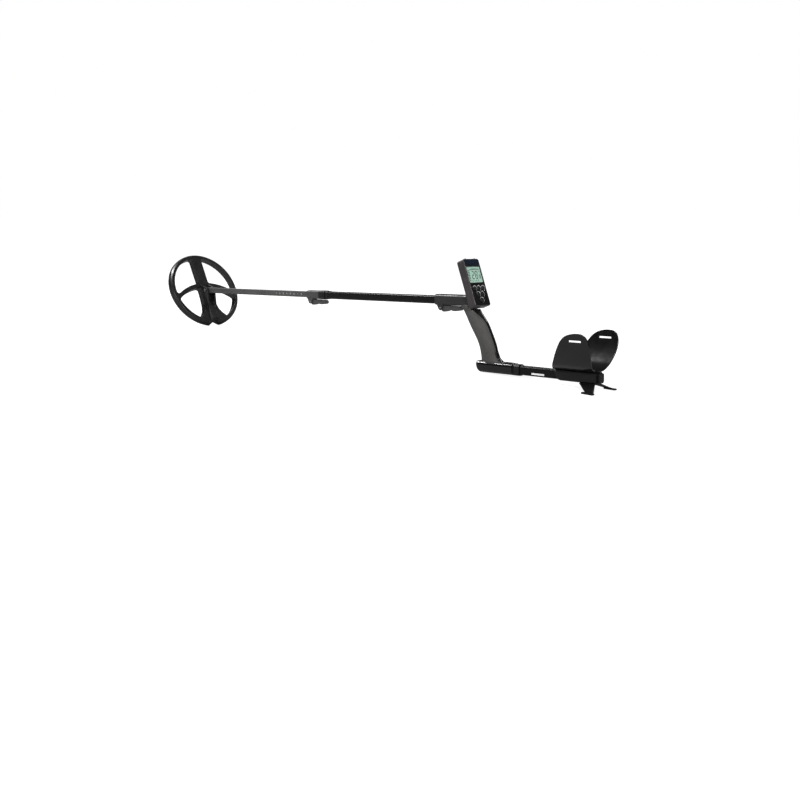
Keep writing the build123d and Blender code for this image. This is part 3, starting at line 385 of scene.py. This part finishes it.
# ---- display marks --------------------------------------------------------------------------------
WINDOW_A = 17.4                     # middle of the display above the middle of the front
marks = []
marks += digit("2", -8.6, WINDOW_A - 8.6, 7.0, 15.6, 2.5)
marks += digit("8", 2.2, WINDOW_A - 8.6, 7.0, 15.6, 2.5)
for i in range(7):                  # depth ladder at the left
    z = WINDOW_A - 13.2 + i * 3.5
    marks.append(bar(-19.6, z, -15.4 + 0.3 * i, z + 2.3))
TICKS = 13
for i in range(TICKS):              # scale along the top, taller in its middle
    y = -12.4 + i * 2.45
    tall = 12.2 + 1.8 * math.sin(math.pi * (i + 0.5) / TICKS)
    marks.append(bar(y, WINDOW_A + 10.2, y + 1.6, WINDOW_A + tall))
for i in range(4):                  # small digits along the bottom
    marks += digit("0369"[i], -11.4 + i * 6.2, WINDOW_A - 14.6, 2.0, 3.6, 0.7)
for y0, z0, y1, z1 in ((14.0, -9.0, 19.6, -8.3), (14.0, -0.9, 19.6, -0.2), (14.0, -8.3, 14.7, -0.9),
                       (18.9, -8.3, 19.6, -0.9), (15.5, -7.5, 18.1, -5.9), (15.5, -5.3, 18.1, -3.7),
                       (15.5, -3.1, 18.1, -1.7)):
    marks.append(bar(y0, WINDOW_A + z0, y1, WINDOW_A + z1))
marks += digit("7", 14.8, WINDOW_A + 2.0, 3.2, 5.6, 0.95)
DISPLAY_FRONT = -1.9 * MM
add_piece("display_marks", thin_shapes("display_marks", marks, REMOTE, DISPLAY_FRONT, 0.12 * MM),
          ink_dark, "remote")


# ---- keys: painted highlights, bright crescents around them ---------------------------------------
KEY_AT = [(-13.7, -13.6), (0.0, -13.6), (13.7, -13.6), (-6.85, -26.6), (6.85, -26.6), (0.0, -39.6)]


CRESCENT_STEPS, CRESCENT_SIDES = 44, 10
CRESCENT_START, CRESCENT_SWEEP = -62, 214       # degrees, counter-clockwise from the right
CRESCENT_RADIUS = 5.38 * MM                     # inside of the bright line
CRESCENT_LIFT = 0.28 * MM


def painted_glint_crescents():
    """A painted highlight: a bright line around each key, thick in its middle and thin at both ends, shaped like
    light caught on a rim.
    """
    bm = bmesh.new()
    sides = CRESCENT_SIDES
    for ky, kz in KEY_AT:
        rings = []
        for i in range(CRESCENT_STEPS + 1):
            swing = i / CRESCENT_STEPS
            angle = math.radians(CRESCENT_START + CRESCENT_SWEEP * swing)
            thick = (0.16 + 0.74 * math.sin(math.pi * swing) ** 0.8) * MM
            radius = CRESCENT_RADIUS + thick
            loop = []
            for k in range(sides):
                a = 2 * math.pi * k / sides
                r = radius + thick * math.cos(a)
                x = CRESCENT_LIFT + 0.42 * thick * math.sin(a) + 0.16 * thick
                loop.append(bm.verts.new(REMOTE @ Vector((x, ky * MM + r * math.cos(angle),
                                                          kz * MM + r * math.sin(angle)))))
            rings.append(loop)
        for a, b in zip(rings, rings[1:]):
            for k in range(sides):
                j = (k + 1) % sides
                bm.faces.new((a[k], a[j], b[j], b[k]))
        bm.faces.new(rings[0][::-1])
        bm.faces.new(rings[-1])
    bmesh.ops.recalc_face_normals(bm, faces=bm.faces)
    mesh = bpy.data.meshes.new("key_painted_glints")
    bm.to_mesh(mesh)
    bm.free()
    for polygon in mesh.polygons:
        polygon.use_smooth = True
    return mesh


# The crescents are painted highlights standing in for light caught on the rims around the keys.
rings = add_piece("key_painted_glints", painted_glint_crescents(), looks["glint_silver"], "remote")
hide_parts("key_rings")


# ---- numbers along the lower stem -----------------------------------------------------------------
STEM_HALF = TUBE_WIDTH / 2 - TUBE_WALL - SLIDE_GAP
INK_SINK, INK_HEIGHT = 0.02 * MM, 0.07 * MM
SIDE_OUT = matrix(-across, along, upward, STEM.translation)
numbers = []
FIRST_NUMBER, NUMBER_PITCH = -560.0, 14.6
for i in range(8):
    numbers += digit(str(i + 1), FIRST_NUMBER + i * NUMBER_PITCH, -1.9, 2.1, 3.9, 0.75)
add_piece("stem_numbers", thin_shapes("stem_numbers", numbers, SIDE_OUT, STEM_HALF - INK_SINK,
                                    INK_HEIGHT),
          ink_pale, "lower_stem")


# ---- floor, light, camera -------------------------------------------------------------------------
FLOOR_SIDES = 64
FLOOR_DROP = 0.2 * MM


def studio_floor():
    """A round pale floor that glows a little for the camera, more so far away, to meet the backdrop."""
    t = Tree("studio_floor")
    cloud = t.noise(1.3, 3.0)
    t.put(t.shader.inputs["Base Color"], t.mix(cloud, (0.42, 0.42, 0.42), (0.45, 0.45, 0.45)))
    seen = t.node("LightPath")
    away = t.node("VectorMath", out=1, props={"operation": "LENGTH"}, i0=t.place)
    glow = t.spread(away, 1.2, 5.0, 0.82, 1.0)
    t.put(t.shader.inputs["Emission Strength"], t.math("MULTIPLY", seen, glow))
    t.shader.inputs["Emission Color"].default_value = (1, 1, 1, 1)
    t.shader.inputs["Roughness"].default_value = 0.85
    t.shader.inputs["Specular IOR Level"].default_value = 0.1
    bm = bmesh.new()
    rings = []
    for radius in (2.0, 6.0, 14.0, 30.0):
        rings.append([bm.verts.new((radius * math.cos(a), radius * math.sin(a), 0.0))
                      for a in [2 * math.pi * k / FLOOR_SIDES for k in range(FLOOR_SIDES)]])
    bm.faces.new(rings[0])
    for a, b in zip(rings, rings[1:]):
        for k in range(FLOOR_SIDES):
            j = (k + 1) % FLOOR_SIDES
            bm.faces.new((a[k], b[k], b[j], a[j]))
    bmesh.ops.recalc_face_normals(bm, faces=bm.faces)
    mesh = bpy.data.meshes.new("studio_floor")
    bm.to_mesh(mesh)
    bm.free()
    mesh.materials.append(t.material)
    floor = bpy.data.objects.new("studio_floor", mesh)
    bpy.context.scene.collection.objects.link(floor)
    floor.location.z = -FLOOR_DROP


def softbox(name, place, target, size, power, tall=None):
    """Rectangular lamp at place, facing target; size across and tall in metres, power in watts."""
    light = bpy.data.lights.new(name, "AREA")
    light.shape = "RECTANGLE"
    light.size = size
    light.size_y = tall or size
    light.energy = power
    lamp = bpy.data.objects.new(name, light)
    bpy.context.scene.collection.objects.link(lamp)
    lamp.location = place
    lamp.rotation_euler = (Vector(target) - Vector(place)).to_track_quat("-Z", "Y").to_euler()


studio_floor()
softbox("key_softbox", (2.35, -1.45, 1.05), (0.25, 0, 0.1), 0.6, 46.0)
softbox("near_softbox", (0.6, -2.7, 1.15), (-0.35, 0, 0.12), 0.9, 18.0, tall=0.5)
softbox("left_strip", (-2.2, 1.0, 0.8), (-0.5, 0, 0.12), 1.2, 5.0, tall=1.3)
softbox("high_left_softbox", (-1.7, -0.9, 2.0), (0.2, 0, 0.1), 0.45, 60.0)
softbox("back_strip", (-0.3, 2.2, 1.4), (-0.1, 0, 0.12), 2.4, 18.0, tall=0.25)

sky = bpy.data.lights.new("even_sky", "SUN")
sky.energy = 0.25
sky.angle = math.radians(80)
sky_lamp = bpy.data.objects.new("even_sky", sky)
bpy.context.scene.collection.objects.link(sky_lamp)
sky_lamp.rotation_euler = (math.radians(10), math.radians(12), 0)

world = bpy.data.worlds.new("studio")
bpy.context.scene.world = world
world.use_nodes = True
nodes, links = world.node_tree.nodes, world.node_tree.links
direction = nodes.new("ShaderNodeTexCoord")
height = nodes.new("ShaderNodeSeparateXYZ")
rise = nodes.new("ShaderNodeMapRange")
rise.inputs["From Min"].default_value, rise.inputs["From Max"].default_value = 0.12, 0.80
rise.inputs["To Min"].default_value, rise.inputs["To Max"].default_value = 0.012, 0.10
path = nodes.new("ShaderNodeLightPath")
seen = nodes.new("ShaderNodeMix")
seen.inputs[3].default_value = 1.0
links.new(direction.outputs["Generated"], height.inputs[0])
links.new(height.outputs[2], rise.inputs["Value"])
links.new(rise.outputs[0], seen.inputs[2])
links.new(path.outputs["Is Camera Ray"], seen.inputs[0])
links.new(seen.outputs[0], nodes["Background"].inputs["Strength"])
nodes["Background"].inputs["Color"].default_value = (1.0, 1.0, 1.0, 1)

FOCAL_PIXELS, FRAME_PIXELS = 879.9, 800.0
CAMERA_PLACE = Vector((1293.3, -1474.1, 105.9)) * MM    # in the stem's frame
view = bpy.data.cameras.new("camera")
view.sensor_width = 36.0
view.lens = FOCAL_PIXELS * view.sensor_width / FRAME_PIXELS
view.clip_end = 100.0
camera = bpy.data.objects.new("camera", view)
bpy.context.scene.collection.objects.link(camera)
azimuth, elevation, roll = (math.radians(a) for a in (43.714, 9.592, -0.532))
back = Vector((math.cos(elevation) * math.sin(azimuth), -math.cos(elevation) * math.cos(azimuth),
               math.sin(elevation)))
right = Vector((math.cos(azimuth), math.sin(azimuth), 0))
up = back.cross(right)
r = right * math.cos(roll) + up * math.sin(roll)
u = up * math.cos(roll) - right * math.sin(roll)
camera.matrix_world = STEM @ matrix(r, u, back, CAMERA_PLACE)
bpy.context.scene.camera = camera
bpy.context.scene.view_settings.view_transform = "Standard"

bpy.context.view_layer.update()
